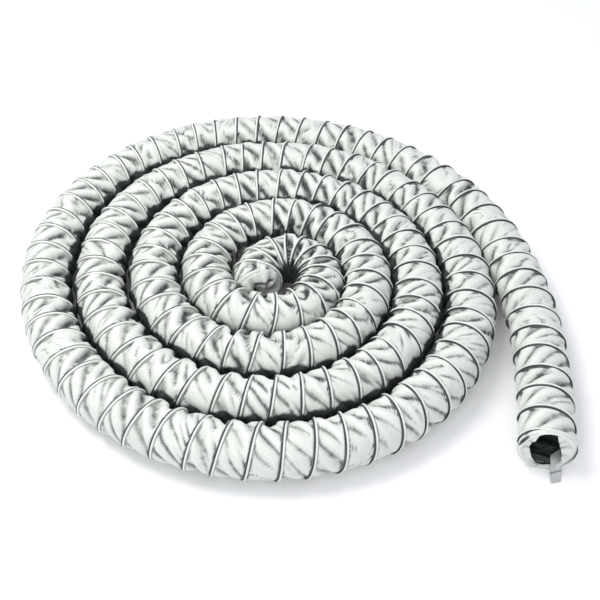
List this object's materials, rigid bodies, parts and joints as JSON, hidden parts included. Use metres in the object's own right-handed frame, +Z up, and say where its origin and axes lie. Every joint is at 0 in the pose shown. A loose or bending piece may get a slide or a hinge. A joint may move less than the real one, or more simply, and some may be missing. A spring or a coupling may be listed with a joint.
{
  "type": "fire-rated flexible air duct",
  "caption": "Flexible fire-rated air duct of coated cloth sewn over a spring-wire helix, lying coiled flat with its mouth end run out and a cloth strap at the mouth.",
  "frame": {"origin": "bottom centre of the whole coil's bounding box, on the floor it lies on", "axes": "+Z up through the flat coil; +X towards the side the straight tail runs down; the mouth faces -Y"},
  "size_m": [1.0634, 0.9922, 0.1],
  "materials": {
    "coated_cloth": "silver-grey coated cloth, satin",
    "spring_wire": "dark spring steel",
    "strap_cloth": "grey woven tape"
  },
  "bodies": {
    "root": {"duct_sleeve": "coated_cloth", "wire_helix": "spring_wire", "strap": "strap_cloth"}
  },
  "joints": []
}
